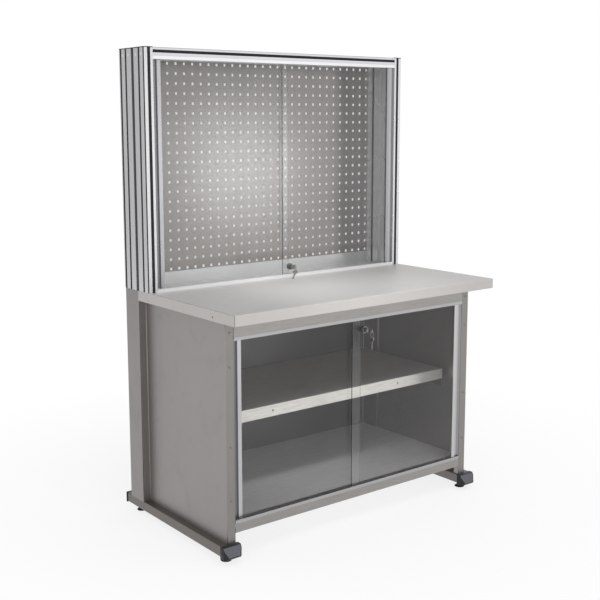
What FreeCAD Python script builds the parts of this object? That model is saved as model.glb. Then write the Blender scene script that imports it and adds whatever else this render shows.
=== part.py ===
# Stainless steel workbench: a glazed cupboard under the worktop, a glazed pegboard cabinet above it.
# Millimetres, +Z up, X along the bench, the front faces -Y.
# The origin is on the floor under the middle of the whole bench.

import FreeCAD, Part
import math
import os

os.makedirs("parts", exist_ok=True)
V = FreeCAD.Vector

# Driving dimensions of the whole bench
bench_length = 1270.0
worktop_height = 900.0
cabinet_height = 900.0
worktop_clear_depth = 550.0
cabinet_depth = 186.0
foot_rear_overhang = 39.0

# Values that many pieces share
sheet = 1.5
fold_radius = 3.0
snug_gap = 0.1
running_gap = 0.3
turning_gap = 0.05
overrun = 5.0

half_length = bench_length / 2
overall_depth = worktop_clear_depth + cabinet_depth + foot_rear_overhang
front_y = -overall_depth / 2
cabinet_front_y = front_y + worktop_clear_depth
cabinet_back_y = cabinet_front_y + cabinet_depth
total_height = worktop_height + cabinet_height


# Shape helpers
def block(x, y, z):
    """A box between the low and high value on each axis."""
    return Part.makeBox(x[1] - x[0], y[1] - y[0], z[1] - z[0], V(x[0], y[0], z[0]))


def mirrored(shape):
    """The same piece on the left side of the bench."""
    return shape.mirror(V(0, 0, 0), V(1, 0, 0))


def fused(shapes):
    """One solid from shapes that touch or overlap."""
    return shapes[0].multiFuse(shapes[1:]).removeSplitter()


def slab(outline, z):
    """An outline of (x, y) points extruded from the low z to the high z."""
    points = [V(x, y, z[0]) for x, y in outline]
    face = Part.Face(Part.makePolygon(points + points[:1]))
    return face.extrude(V(0, 0, z[1] - z[0]))


def side_profile(outline, x):
    """An outline of (y, z) points extruded from the low x to the high x."""
    points = [V(x[0], y, z) for y, z in outline]
    face = Part.Face(Part.makePolygon(points + points[:1]))
    return face.extrude(V(x[1] - x[0], 0, 0))


def upright_edges(shape, places):
    """The vertical edges that stand on the given (x, y) places."""
    found = []
    for edge in shape.Edges:
        a = edge.Vertexes[0].Point
        b = edge.Vertexes[-1].Point
        vertical = abs(a.x - b.x) < snug_gap and abs(a.y - b.y) < snug_gap
        if not vertical:
            continue
        for x, y in places:
            if abs(a.x - x) < snug_gap and abs(a.y - y) < snug_gap:
                found.append(edge)
    return found


def save(name, shapes):
    """Write one node: a single solid or a group of separate solids."""
    Part.makeCompound(shapes).exportStep("parts/" + name + ".step")


# Foot bars: a rectangular tube on the floor line under each side
leg_setback = 101.0
foot_bar_inset = 3.0
foot_bar_width = 70.0
foot_bar_height = 37.0
foot_bar_wall = 2.0
foot_bar_lift = 26.0
rear_cap_thickness = 6.0

leg_front_y = front_y + leg_setback
foot_bar_outer_x = half_length - foot_bar_inset
foot_bar_inner_x = foot_bar_outer_x - foot_bar_width
foot_bar_mid_x = (foot_bar_outer_x + foot_bar_inner_x) / 2
foot_bar_top_z = foot_bar_lift + foot_bar_height
foot_bar_back_y = cabinet_back_y + foot_rear_overhang - rear_cap_thickness

# Levelling feet: a plastic pad on a threaded stud, near both ends of each bar
pad_radius = 20.0
pad_top_radius = 13.0
pad_height = 9.0
stud_radius = 5.0
stud_top_gap = 6.0
front_foot_setback = 19.0
rear_foot_setback = 54.0
foot_nut_radius = 9.5
foot_nut_height = 8.0

stud_hole_radius = stud_radius + turning_gap
foot_ys = {"front": leg_front_y + front_foot_setback, "rear": foot_bar_back_y - rear_foot_setback}


def foot_bar():
    outer = block(
        (foot_bar_inner_x, foot_bar_outer_x),
        (leg_front_y, foot_bar_back_y),
        (foot_bar_lift, foot_bar_top_z),
    )
    bar_length = foot_bar_back_y - leg_front_y
    long_edges = [edge for edge in outer.Edges if abs(edge.Length - bar_length) < snug_gap]
    outer = outer.makeFillet(fold_radius, long_edges)
    inner = block(
        (foot_bar_inner_x + foot_bar_wall, foot_bar_outer_x - foot_bar_wall),
        (leg_front_y - overrun, foot_bar_back_y + overrun),
        (foot_bar_lift + foot_bar_wall, foot_bar_top_z - foot_bar_wall),
    )
    bar = outer.cut(inner)
    for y in foot_ys.values():
        start = V(foot_bar_mid_x, y, foot_bar_lift - overrun)
        bar = bar.cut(Part.makeCylinder(stud_hole_radius, foot_bar_wall + 2 * overrun, start))
    return bar


def foot_nut(y):
    """A hexagon nut welded inside the bar, over the stud's hole."""
    low_z = foot_bar_lift + foot_bar_wall
    corners = []
    for turn in range(6):
        angle = math.radians(60 * turn)
        corner_x = foot_bar_mid_x + foot_nut_radius * math.cos(angle)
        corner_y = y + foot_nut_radius * math.sin(angle)
        corners.append((corner_x, corner_y))
    nut = slab(corners, (low_z, low_z + foot_nut_height))
    return nut.cut(Part.makeCylinder(stud_hole_radius, foot_nut_height, V(foot_bar_mid_x, y, low_z)))


def levelling_foot(y):
    pad = Part.makeCone(pad_radius, pad_top_radius, pad_height, V(foot_bar_mid_x, y, 0))
    stud_length = foot_bar_top_z - foot_bar_wall - stud_top_gap - pad_height
    stud = Part.makeCylinder(stud_radius, stud_length, V(foot_bar_mid_x, y, pad_height))
    return pad.fuse(stud)


right_bar = foot_bar()
save("foot_bar_right", [right_bar])
save("foot_bar_left", [mirrored(right_bar)])

nuts = [foot_nut(y) for y in foot_ys.values()]
save("foot_bar_nuts", nuts + [mirrored(nut) for nut in nuts])

for end, y in foot_ys.items():
    foot = levelling_foot(y)
    save("levelling_foot_" + end + "_right", [foot])
    save("levelling_foot_" + end + "_left", [mirrored(foot)])

# Foot caps: a sloped plastic toe in front and a flat plug behind, both pushed into the tube
cap_lip = foot_bar_inset
cap_top_lip = 1.5
toe_drop = 5.0
toe_length = 38.0
toe_top_length = 18.0
toe_nose_rise = 7.0
toe_nose_cut = 7.0
toe_corner = 14.0
toe_edge_radius = 2.0
plug_length = 8.0

cap_x = (foot_bar_inner_x - cap_lip, foot_bar_outer_x + cap_lip)
cap_top_z = foot_bar_top_z + cap_top_lip
toe_bottom_z = foot_bar_lift - toe_drop


def cap_plug(y):
    """The tongue of a cap inside the bar."""
    return block(
        (foot_bar_inner_x + foot_bar_wall + snug_gap, foot_bar_outer_x - foot_bar_wall - snug_gap),
        y,
        (foot_bar_lift + foot_bar_wall + snug_gap, foot_bar_top_z - foot_bar_wall - snug_gap),
    )


def front_foot_cap():
    y = leg_front_y
    outline = [
        (y, toe_bottom_z),
        (y - toe_length + toe_nose_cut, toe_bottom_z),
        (y - toe_length, toe_bottom_z + toe_nose_rise),
        (y - toe_top_length, cap_top_z),
        (y, cap_top_z),
    ]
    toe = side_profile(outline, cap_x)
    plan = [
        (cap_x[0], y),
        (cap_x[0], y - toe_length + toe_corner),
        (cap_x[0] + toe_corner, y - toe_length),
        (cap_x[1] - toe_corner, y - toe_length),
        (cap_x[1], y - toe_length + toe_corner),
        (cap_x[1], y),
    ]
    toe = toe.common(slab(plan, (toe_bottom_z, cap_top_z)))
    soft_edges = [edge for edge in toe.Edges if edge.BoundBox.YMin < y - snug_gap]
    toe = toe.makeFillet(toe_edge_radius, soft_edges)
    return toe.fuse(cap_plug((y, y + plug_length)))


def rear_foot_cap():
    y = foot_bar_back_y
    plate = block(cap_x, (y, y + rear_cap_thickness), (foot_bar_lift - cap_lip, cap_top_z))
    corner_edges = [edge for edge in plate.Edges if edge.BoundBox.YMin > y + snug_gap]
    plate = plate.makeFillet(toe_edge_radius, corner_edges)
    return plate.fuse(cap_plug((y - plug_length, y)))


toe_cap = front_foot_cap()
save("front_foot_caps", [toe_cap, mirrored(toe_cap)])
plug_cap = rear_foot_cap()
save("rear_foot_caps", [plug_cap, mirrored(plug_cap)])

# Rear posts: wide box sections that rise from the foot bars to carry the cabinet
post_thickness = 40.0
post_width = 97.0
post_wall = 2.0
post_back_inset = 3.0

post_back_y = cabinet_back_y - post_back_inset
post_front_y = post_back_y - post_width
post_inner_x = half_length - post_thickness


def rear_post():
    outer = block((post_inner_x, half_length), (post_front_y, post_back_y), (foot_bar_top_z, worktop_height))
    corners = [
        (post_inner_x, post_front_y),
        (half_length, post_front_y),
        (half_length, post_back_y),
        (post_inner_x, post_back_y),
    ]
    outer = outer.makeFillet(fold_radius, upright_edges(outer, corners))
    inner = block(
        (post_inner_x + post_wall, half_length - post_wall),
        (post_front_y + post_wall, post_back_y - post_wall),
        (foot_bar_top_z - overrun, worktop_height - post_wall),
    )
    return outer.cut(inner)


post = rear_post()
save("rear_post_right", [post])
save("rear_post_left", [mirrored(post)])

# Worktop: a folded steel skin over a board core
worktop_thickness = 38.0
core_recess = 1.0
edge_screw_radius = 4.0
edge_screw_drop = 24.0
edge_screw_setback = 27.0

worktop_low_z = worktop_height - worktop_thickness
edge_screw_y = leg_front_y + edge_screw_setback
edge_screw_z = worktop_height - edge_screw_drop


def worktop_outline(inset):
    """The worktop's plan: full length in front, narrower between the rear posts."""
    wide_x = half_length - inset
    narrow_x = post_inner_x - inset
    return [
        (-wide_x, front_y + inset),
        (wide_x, front_y + inset),
        (wide_x, post_front_y - inset),
        (narrow_x, post_front_y - inset),
        (narrow_x, post_back_y - inset),
        (-narrow_x, post_back_y - inset),
        (-narrow_x, post_front_y - inset),
        (-wide_x, post_front_y - inset),
    ]


def edge_screw():
    """A flat screw head set flush in the skin's side edge."""
    start = V(half_length - sheet, edge_screw_y, edge_screw_z)
    return Part.makeCylinder(edge_screw_radius, sheet, start, V(1, 0, 0))


def worktop_skin():
    skin = slab(worktop_outline(0), (worktop_low_z, worktop_height))
    front_corners = [(half_length, front_y), (-half_length, front_y)]
    skin = skin.makeFillet(fold_radius, upright_edges(skin, front_corners))
    rim = []
    for edge in skin.Edges:
        box = edge.BoundBox
        on_top = box.ZMin > worktop_height - snug_gap
        in_front = box.YMax < post_front_y + snug_gap and box.YMin < post_front_y - snug_gap
        if on_top and in_front:
            rim.append(edge)
    skin = skin.makeFillet(sheet, rim)
    skin = skin.cut(slab(worktop_outline(sheet), (worktop_low_z, worktop_height - sheet)))
    screw = edge_screw()
    return skin.cut(screw).cut(mirrored(screw))


save("worktop_skin", [worktop_skin()])
save("worktop_core", [slab(worktop_outline(sheet), (worktop_low_z + core_recess, worktop_height - sheet))])
save("worktop_screws", [edge_screw(), mirrored(edge_screw())])

# Side panels: one folded sheet each, whose front flange is the leg of the bench
panel_inset = 32.0
leg_width = 36.0
leg_return = 25.0
post_flange = 28.0

panel_outer_x = half_length - panel_inset
panel_inner_x = panel_outer_x - sheet
leg_inner_x = panel_outer_x - leg_width
panel_z = (foot_bar_top_z, worktop_low_z)


def side_panel():
    web = block((panel_inner_x, panel_outer_x), (leg_front_y, post_front_y), panel_z)
    leg = block((leg_inner_x, panel_outer_x), (leg_front_y, leg_front_y + sheet), panel_z)
    lip = block((leg_inner_x, leg_inner_x + sheet), (leg_front_y, leg_front_y + leg_return), panel_z)
    flange_x = (panel_inner_x, panel_outer_x + post_flange)
    flange = block(flange_x, (post_front_y - sheet, post_front_y), panel_z)
    panel = fused([web, leg, lip, flange])
    outside = [(panel_outer_x, leg_front_y), (leg_inner_x, leg_front_y)]
    panel = panel.makeFillet(fold_radius, upright_edges(panel, outside))
    inside = [(panel_inner_x, leg_front_y + sheet), (leg_inner_x + sheet, leg_front_y + sheet)]
    panel = panel.makeFillet(fold_radius - sheet, upright_edges(panel, inside))
    rear_fold = [(panel_outer_x, post_front_y - sheet)]
    return panel.makeFillet(fold_radius, upright_edges(panel, rear_fold))


panel = side_panel()
save("side_panel_right", [panel])
save("side_panel_left", [mirrored(panel)])

# Door tracks: the same two-lane aluminium channel below and above every pair of doors
track_wall = 5.0
track_channel = 6.0
lane_pitch = 12.0
track_height = 12.0
track_base = 4.0

track_depth = 2 * track_wall + lane_pitch + track_channel
lane_offsets = {"front": track_wall + track_channel / 2, "rear": track_wall + track_channel / 2 + lane_pitch}


def track(half_width, front, low_z, opens_up):
    """A channel section with one groove for each lane."""
    body = block((-half_width, half_width), (front, front + track_depth), (low_z, low_z + track_height))
    if opens_up:
        groove_z = (low_z + track_base, low_z + track_height + overrun)
    else:
        groove_z = (low_z - overrun, low_z + track_height - track_base)
    for offset in lane_offsets.values():
        lane_y = front + offset
        groove_y = (lane_y - track_channel / 2, lane_y + track_channel / 2)
        body = body.cut(block((-half_width - overrun, half_width + overrun), groove_y, groove_z))
    return body


# Frame of the cupboard: folded channels between the legs in front and the posts behind
bottom_rail_z = (98.0, 131.0)
top_rail_height = 61.0
rail_depth = 40.0

top_rail_z = (worktop_low_z - top_rail_height, worktop_low_z)
base_track_low_z = bottom_rail_z[1]
base_track_high_z = top_rail_z[0] - track_height
back_panel_y = (post_back_y - sheet, post_back_y)


def channel_rail(half_width, web_y, flange_y, z):
    """A folded channel: one upright web and two flanges that point the same way."""
    width = (-half_width, half_width)
    web = block(width, web_y, z)
    low = block(width, flange_y, (z[0], z[0] + sheet))
    high = block(width, flange_y, (z[1] - sheet, z[1]))
    return fused([web, low, high])


front_web_y = (leg_front_y, leg_front_y + sheet)
front_flange_y = (leg_front_y, leg_front_y + rail_depth)
rear_web_y = (back_panel_y[0] - sheet, back_panel_y[0])
rear_flange_y = (back_panel_y[0] - rail_depth, back_panel_y[0])

save("front_bottom_rail", [channel_rail(leg_inner_x, front_web_y, front_flange_y, bottom_rail_z)])
save("front_top_rail", [channel_rail(leg_inner_x, front_web_y, front_flange_y, top_rail_z)])
save("rear_bottom_rail", [channel_rail(post_inner_x, rear_web_y, rear_flange_y, bottom_rail_z)])
rear_top_rail_z = (worktop_low_z - rail_depth, worktop_low_z)
save("rear_top_rail", [channel_rail(post_inner_x, rear_web_y, rear_flange_y, rear_top_rail_z)])
save("back_panel", [block((-post_inner_x, post_inner_x), back_panel_y, (bottom_rail_z[0], worktop_low_z))])
save("base_bottom_track", [track(leg_inner_x, leg_front_y, base_track_low_z, True)])
save("base_top_track", [track(leg_inner_x, leg_front_y, base_track_high_z, False)])

# Floor of the cupboard: a flat sheet on the bottom rails
floor_z = (bottom_rail_z[1], bottom_rail_z[1] + sheet)
floor_outline = [
    (-panel_inner_x, leg_front_y + track_depth),
    (panel_inner_x, leg_front_y + track_depth),
    (panel_inner_x, post_front_y - sheet),
    (post_inner_x, post_front_y - sheet),
    (post_inner_x, back_panel_y[0]),
    (-post_inner_x, back_panel_y[0]),
    (-post_inner_x, post_front_y - sheet),
    (-panel_inner_x, post_front_y - sheet),
]
save("floor_shelf", [slab(floor_outline, floor_z)])

# Middle shelf: a sheet folded down on all four sides, carried by an angle on each side panel
shelf_top_share = 0.5511
shelf_apron = 44.0
shelf_setback = 114.0
shelf_side_gap = 24.0
shelf_back_gap = 10.0
angle_leg = 40.0
angle_wall = 2.0
angle_front_setback = 140.0
angle_back_gap = 10.0

shelf_top_z = worktop_height * shelf_top_share
shelf_half_x = panel_inner_x - shelf_side_gap
shelf_front_y = leg_front_y + shelf_setback
shelf_back_y = back_panel_y[0] - shelf_back_gap
shelf_low_z = shelf_top_z - shelf_apron


def middle_shelf():
    outer = block((-shelf_half_x, shelf_half_x), (shelf_front_y, shelf_back_y), (shelf_low_z, shelf_top_z))
    front_top = []
    for edge in outer.Edges:
        box = edge.BoundBox
        if box.YMax < shelf_front_y + snug_gap and box.ZMin > shelf_top_z - snug_gap:
            front_top.append(edge)
    outer = outer.makeFillet(fold_radius, front_top)
    inner = block(
        (-shelf_half_x + sheet, shelf_half_x - sheet),
        (shelf_front_y + sheet, shelf_back_y - sheet),
        (shelf_low_z - overrun, shelf_top_z - sheet),
    )
    return outer.cut(inner)


def shelf_angle():
    y = (leg_front_y + angle_front_setback, post_front_y - angle_back_gap)
    ledge = block((panel_inner_x - angle_leg, panel_inner_x), y, (shelf_low_z - angle_wall, shelf_low_z))
    wall = block((panel_inner_x - angle_wall, panel_inner_x), y, (shelf_low_z - angle_leg, shelf_low_z))
    return fused([ledge, wall])


save("middle_shelf", [middle_shelf()])
angle = shelf_angle()
save("shelf_angles", [angle, mirrored(angle)])

# Screws: round heads on the legs and on the shelf's front edge
screw_head_radius = 4.0
screw_head_height = 2.0
leg_screw_shares = [0.194, 0.439, 0.797, 0.947]
shelf_screw_share = 0.25

leg_mid_x = (leg_inner_x + panel_outer_x) / 2
leg_screw_zs = [panel_z[0] + (panel_z[1] - panel_z[0]) * share for share in leg_screw_shares]
shelf_screw_x = bench_length * shelf_screw_share


def screw_head(x, face_y, z):
    head = Part.makeCylinder(screw_head_radius, screw_head_height, V(x, face_y, z), V(0, -1, 0))
    rim = [edge for edge in head.Edges if edge.BoundBox.YMax < face_y - screw_head_height + snug_gap]
    return head.makeFillet(screw_head_height / 2, rim)


screws = [screw_head(leg_mid_x, leg_front_y, z) for z in leg_screw_zs]
screws.append(screw_head(shelf_screw_x, shelf_front_y, (shelf_low_z + shelf_top_z) / 2))
save("panel_screws", screws + [mirrored(screw) for screw in screws])

# Cabinet uprights: grooved aluminium profiles, a front and a rear one on each side
upright_width = 36.0
front_upright_depth = 78.0
infill_width = 20.0
cap_plate = 3.0
slot_width = 12.5
slot_depth = 8.0
strip_sink = 1.5
strip_thickness = 3.0
core_width = 16.0
side_slot_setback = 40.4
corner_slot_setback = 6.2
corner_slot_width = 9.5
face_slot_setback = 19.5
rear_side_slot_setback = 39.3
rear_corner_slot_inset = 11.0

upright_inner_x = half_length - upright_width
upright_z = (worktop_height, total_height - cap_plate)
front_upright_y = (cabinet_front_y, cabinet_front_y + front_upright_depth)
infill_y = (front_upright_y[1], front_upright_y[1] + infill_width)
rear_upright_y = (infill_y[1], cabinet_back_y)

# Each slot runs the height of the upright: which face it is in, its middle and its width
front_slots = [
    ("outer", front_upright_y[0] + corner_slot_setback, corner_slot_width),
    ("outer", front_upright_y[0] + side_slot_setback, slot_width),
    ("inner", front_upright_y[0] + side_slot_setback, slot_width),
    ("face", half_length - face_slot_setback, slot_width),
]
rear_slots = [
    ("outer", rear_upright_y[0] + rear_side_slot_setback, slot_width),
    ("inner", rear_upright_y[0] + rear_side_slot_setback, slot_width),
    ("outer", rear_upright_y[1] - rear_corner_slot_inset, slot_width),
]

# Pegboard: a square-holed sheet held in grooves of the rear frame
peg_pitch = 38.0
peg_hole = 10.0
peg_edge = 3.0
peg_front_depth = 172.0
peg_groove = 6.0
rear_rail_depth = 26.0
rear_bottom_rail_height = 46.0
rear_top_rail_height = 35.0

peg_y = (cabinet_front_y + peg_front_depth, cabinet_front_y + peg_front_depth + sheet)
peg_groove_y = (peg_y[0] - snug_gap, peg_y[1] + snug_gap)
low_rail_z = (worktop_height, worktop_height + rear_bottom_rail_height)
high_rail_z = (upright_z[1] - rear_top_rail_height, upright_z[1])


def slot_space(face, middle, width, depth, z, sink=0):
    """The room of a slot, or of the strip in it, from sink to depth below the face."""
    across = (middle - width / 2, middle + width / 2)
    if face == "outer":
        return block((half_length - depth, half_length - sink), across, z)
    if face == "inner":
        return block((upright_inner_x + sink, upright_inner_x + depth), across, z)
    return block(across, (cabinet_front_y + sink, cabinet_front_y + depth), z)


def grooved_upright(y, slots):
    upright = block((upright_inner_x, half_length), y, upright_z)
    for face, middle, width in slots:
        upright = upright.cut(slot_space(face, middle, width, slot_depth, upright_z))
    return upright


def upright_core(y):
    """The hollow down the middle of a profile."""
    middle_x = (upright_inner_x + half_length) / 2
    return block((middle_x - core_width / 2, middle_x + core_width / 2), y, upright_z)


def front_upright():
    solid_front = front_upright_y[0] + side_slot_setback + slot_width
    core = upright_core((solid_front, front_upright_y[1] - slot_depth))
    return grooved_upright(front_upright_y, front_slots).cut(core)


def rear_upright():
    solid_front = rear_upright_y[0] + slot_depth
    core = upright_core((solid_front, rear_upright_y[0] + rear_side_slot_setback - slot_width))
    upright = grooved_upright(rear_upright_y, rear_slots).cut(core)
    peg_groove_x = (upright_inner_x, upright_inner_x + peg_groove + snug_gap)
    return upright.cut(block(peg_groove_x, peg_groove_y, upright_z))


upright = front_upright()
save("front_upright_right", [upright])
save("front_upright_left", [mirrored(upright)])
upright = rear_upright()
save("rear_upright_right", [upright])
save("rear_upright_left", [mirrored(upright)])

# Side infills: a dark flat bar that closes the gap between the two uprights
infill_sink = 3.0
infill = block((upright_inner_x + infill_sink, half_length - infill_sink), infill_y, upright_z)
save("side_infills", [infill, mirrored(infill)])

# Cap plates: a thin black plate on top of each pair of uprights
cap = block((upright_inner_x, half_length), (cabinet_front_y, cabinet_back_y), (upright_z[1], total_height))
save("upright_caps", [cap, mirrored(cap)])

# Cabinet rails: a slotted rail over the doors, and two rails that hold the pegboard
top_rail_depth = 36.0
cabinet_rail_height = 29.0
rail_slot_width = 10.5
rail_slot_drop = 12.5

cabinet_rail_z = (upright_z[1] - cabinet_rail_height, upright_z[1])
rail_slot_mid_z = upright_z[1] - rail_slot_drop
cabinet_track_high_z = cabinet_rail_z[0] - track_height


def rail_slot(depth, sink=0):
    return block(
        (-upright_inner_x, upright_inner_x),
        (cabinet_front_y + sink, cabinet_front_y + depth),
        (rail_slot_mid_z - rail_slot_width / 2, rail_slot_mid_z + rail_slot_width / 2),
    )


def cabinet_top_rail():
    y = (cabinet_front_y, cabinet_front_y + top_rail_depth)
    rail = block((-upright_inner_x, upright_inner_x), y, cabinet_rail_z)
    core_y = (cabinet_front_y + slot_width, y[1] - slot_depth)
    core_z = (rail_slot_mid_z - core_width / 2, rail_slot_mid_z + core_width / 2)
    core = block((-upright_inner_x, upright_inner_x), core_y, core_z)
    return rail.cut(rail_slot(slot_depth)).cut(core)


def pegboard_rail(z, groove_z):
    rail = block((-upright_inner_x, upright_inner_x), (cabinet_back_y - rear_rail_depth, cabinet_back_y), z)
    return rail.cut(block((-upright_inner_x, upright_inner_x), peg_groove_y, groove_z))


def peg_count(clear):
    """How many holes fit in a clear width or height of the board."""
    return 1 + int((clear - 2 * peg_edge - peg_hole) / peg_pitch)


def pegboard():
    """The sheet and its square holes, made as one face and given its thickness."""
    half_x = upright_inner_x + peg_groove
    low_z = low_rail_z[1] - peg_groove
    high_z = high_rail_z[0] + peg_groove
    corners = [(-half_x, low_z), (half_x, low_z), (half_x, high_z), (-half_x, high_z)]
    peg_columns = peg_count(2 * upright_inner_x)
    peg_rows = peg_count(high_rail_z[0] - low_rail_z[1])
    first_x = -peg_pitch * (peg_columns - 1) / 2
    first_z = (low_rail_z[1] + high_rail_z[0]) / 2 - peg_pitch * (peg_rows - 1) / 2
    holes = []
    for column in range(peg_columns):
        for row in range(peg_rows):
            low_x = first_x + peg_pitch * column - peg_hole / 2
            low_hole_z = first_z + peg_pitch * row - peg_hole / 2
            high_x = low_x + peg_hole
            high_hole_z = low_hole_z + peg_hole
            square = [(low_x, low_hole_z), (low_x, high_hole_z), (high_x, high_hole_z), (high_x, low_hole_z)]
            holes.append(Part.makePolygon([V(x, peg_y[0], z) for x, z in square + square[:1]]))
    face = Part.Face(Part.makePolygon([V(x, peg_y[0], z) for x, z in corners + corners[:1]]))
    face.cutHoles(holes)
    return face.extrude(V(0, sheet, 0))


save("cabinet_top_rail", [cabinet_top_rail()])
low_groove_z = (low_rail_z[1] - peg_groove, low_rail_z[1])
save("pegboard_bottom_rail", [pegboard_rail(low_rail_z, low_groove_z)])
high_groove_z = (high_rail_z[0], high_rail_z[0] + peg_groove + snug_gap)
save("pegboard_top_rail", [pegboard_rail(high_rail_z, high_groove_z)])
save("pegboard", [pegboard()])
save("cabinet_bottom_track", [track(upright_inner_x, cabinet_front_y, worktop_height, True)])
save("cabinet_top_track", [track(upright_inner_x, cabinet_front_y, cabinet_track_high_z, False)])

# Roof: a flat sheet over the rails
roof_z = (upright_z[1], upright_z[1] + sheet)
save("roof_panel", [block((-upright_inner_x, upright_inner_x), (cabinet_front_y, cabinet_back_y), roof_z)])

# Slot covers: black strips sunk a little below the faces of uprights and rail
strips = []
for face, middle, width in front_slots + rear_slots:
    strip = slot_space(face, middle, width, strip_sink + strip_thickness, upright_z, strip_sink)
    strips += [strip, mirrored(strip)]
strips.append(rail_slot(strip_sink + strip_thickness, strip_sink))
save("slot_cover_strips", strips)

# Sliding doors: a glass pane with a grooved pull profile on its outer edge and glides under it
glass = 4.0
door_gap = 1.0
stile_width = 39.0
stile_thickness = 10.0
stile_ridge = 16.0
stile_lip = 2.0
stile_grip = 10.0
pull_depth = 6.5
glide_length = 40.0
glide_width = 5.4
glide_height = 1.5
glide_share = 0.15
glass_top_gap = 2.0

# Door locks: a push cylinder through the glass, held by a nut, with a key in it
lock_collar_radius = 14.0
lock_collar = 5.0
lock_body_radius = 9.5
lock_body = 13.0
lock_shank_radius = 8.5
lock_nut_radius = 12.0
lock_nut = 4.0
lock_plug_radius = 5.0
lock_plug_proud = 1.0
lock_plug_depth = 18.0
lock_edge_radius = 1.0

# Every pair of doors: the opening, its tracks, how far each pane passes the middle, and the lock's place
rear_lap = 29.0
base_lock_drop = 39.0
cabinet_lock_lift = 42.0
base_doors = {
    "half": leg_inner_x,
    "front": leg_front_y,
    "low": base_track_low_z,
    "high": base_track_high_z,
    "lap": {"front": 22.0, "rear": rear_lap},
    "lock_x": 38.0,
    "lock_z": base_track_high_z - base_lock_drop,
}
cabinet_doors = {
    "half": upright_inner_x,
    "front": cabinet_front_y,
    "low": worktop_height,
    "high": cabinet_track_high_z,
    "lap": {"front": 7.0, "rear": rear_lap},
    "lock_x": 28.0,
    "lock_z": worktop_height + cabinet_lock_lift,
}


def lane_y(doors, lane):
    return doors["front"] + lane_offsets[lane]


def pane(doors, lane):
    """The glass of one door, built at the right-hand end; a lock hole in the front lane only."""
    y = lane_y(doors, lane)
    outer_x = doors["half"] - door_gap - stile_width + stile_grip
    low_z = doors["low"] + track_base + running_gap + glide_height
    high_z = doors["high"] + track_height - track_base - glass_top_gap
    plate = block((-doors["lap"][lane], outer_x), (y - glass / 2, y + glass / 2), (low_z, high_z))
    if lane == "front":
        start = V(doors["lock_x"], y - glass, doors["lock_z"])
        plate = plate.cut(Part.makeCylinder(lock_shank_radius + snug_gap, 2 * glass, start, V(0, 1, 0)))
    return plate


def stile(doors, lane):
    """The pull profile: a ridge that grips the glass and a finger groove beside it."""
    y = lane_y(doors, lane)
    x = (doors["half"] - door_gap - stile_width, doors["half"] - door_gap)
    z = (doors["low"] + track_height + door_gap, doors["high"] - door_gap)
    front = y - stile_thickness / 2
    body = block(x, (front, front + stile_thickness), z)
    pull = block((x[0] + stile_ridge, x[1] - stile_lip), (front, front + pull_depth), z)
    grip = block((x[0], x[0] + stile_grip), (y - glass / 2, y + glass / 2), z)
    return body.cut(pull).cut(grip)


def glides(doors, lane):
    """Two slide blocks between the glass and the floor of its lane."""
    y = lane_y(doors, lane)
    x_range = (-doors["lap"][lane], doors["half"] - door_gap)
    low_z = doors["low"] + track_base + running_gap
    blocks = []
    for share in (glide_share, 1 - glide_share):
        middle = x_range[0] + (x_range[1] - x_range[0]) * share
        x = (middle - glide_length / 2, middle + glide_length / 2)
        blocks.append(block(x, (y - glide_width / 2, y + glide_width / 2), (low_z, low_z + glide_height)))
    return blocks


def save_doors(name, doors):
    """The right door runs in the front lane, the left one in the rear lane."""
    save(name + "_right_door_glass", [pane(doors, "front")])
    save(name + "_right_door_pull", [stile(doors, "front")])
    save(name + "_right_door_glides", glides(doors, "front"))
    save(name + "_left_door_glass", [mirrored(pane(doors, "rear"))])
    save(name + "_left_door_pull", [mirrored(stile(doors, "rear"))])
    save(name + "_left_door_glides", [mirrored(piece) for piece in glides(doors, "rear")])


save_doors("base", base_doors)
save_doors("cabinet", cabinet_doors)

# Keys: one stays in the lock, a spare hangs from its bow on a wire ring
key_thickness = 2.0
key_blade = 8.0
key_neck = 4.0
key_reach = 14.0
bow_radius = 11.0
key_hole_radius = 3.0
key_hole_offset = 7.0
key_slot_gap = 0.1
spare_blade_length = 30.0
spare_rest_gap = 0.7
ring_radius = 9.0
ring_wire = 0.8

spare_length = key_hole_offset + bow_radius + spare_blade_length
hole_slack = key_hole_radius - ring_wire


def toward_front(radius, x, start_y, z, length):
    """A cylinder from start_y towards the front."""
    return Part.makeCylinder(radius, length, V(x, start_y, z), V(0, -1, 0))


def lock_housing(doors):
    x = doors["lock_x"]
    z = doors["lock_z"]
    glass_front = lane_y(doors, "front") - glass / 2
    glass_back = glass_front + glass
    collar = toward_front(lock_collar_radius, x, glass_front, z, lock_collar)
    rim = [edge for edge in collar.Edges if edge.BoundBox.YMax < glass_front - lock_collar + snug_gap]
    collar = collar.makeFillet(lock_edge_radius, rim)
    body = toward_front(lock_body_radius, x, glass_front, z, lock_collar + lock_body)
    shank = toward_front(lock_shank_radius, x, glass_back + lock_nut, z, lock_nut + glass)
    housing = fused([collar, body, shank])
    mouth = glass_front - lock_collar - lock_body
    bore_length = lock_plug_depth + snug_gap
    bore = toward_front(lock_plug_radius + turning_gap, x, mouth + bore_length, z, bore_length + overrun)
    return housing.cut(bore)


def lock_ring_nut(doors):
    x = doors["lock_x"]
    z = doors["lock_z"]
    back_y = lane_y(doors, "front") + glass / 2 + lock_nut
    outer = toward_front(lock_nut_radius, x, back_y, z, lock_nut)
    return outer.cut(toward_front(lock_shank_radius + turning_gap, x, back_y, z, lock_nut))


def plug_front(doors):
    return lane_y(doors, "front") - glass / 2 - lock_collar - lock_body - lock_plug_proud


def bow_y(doors):
    return plug_front(doors) - key_neck - bow_radius


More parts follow.
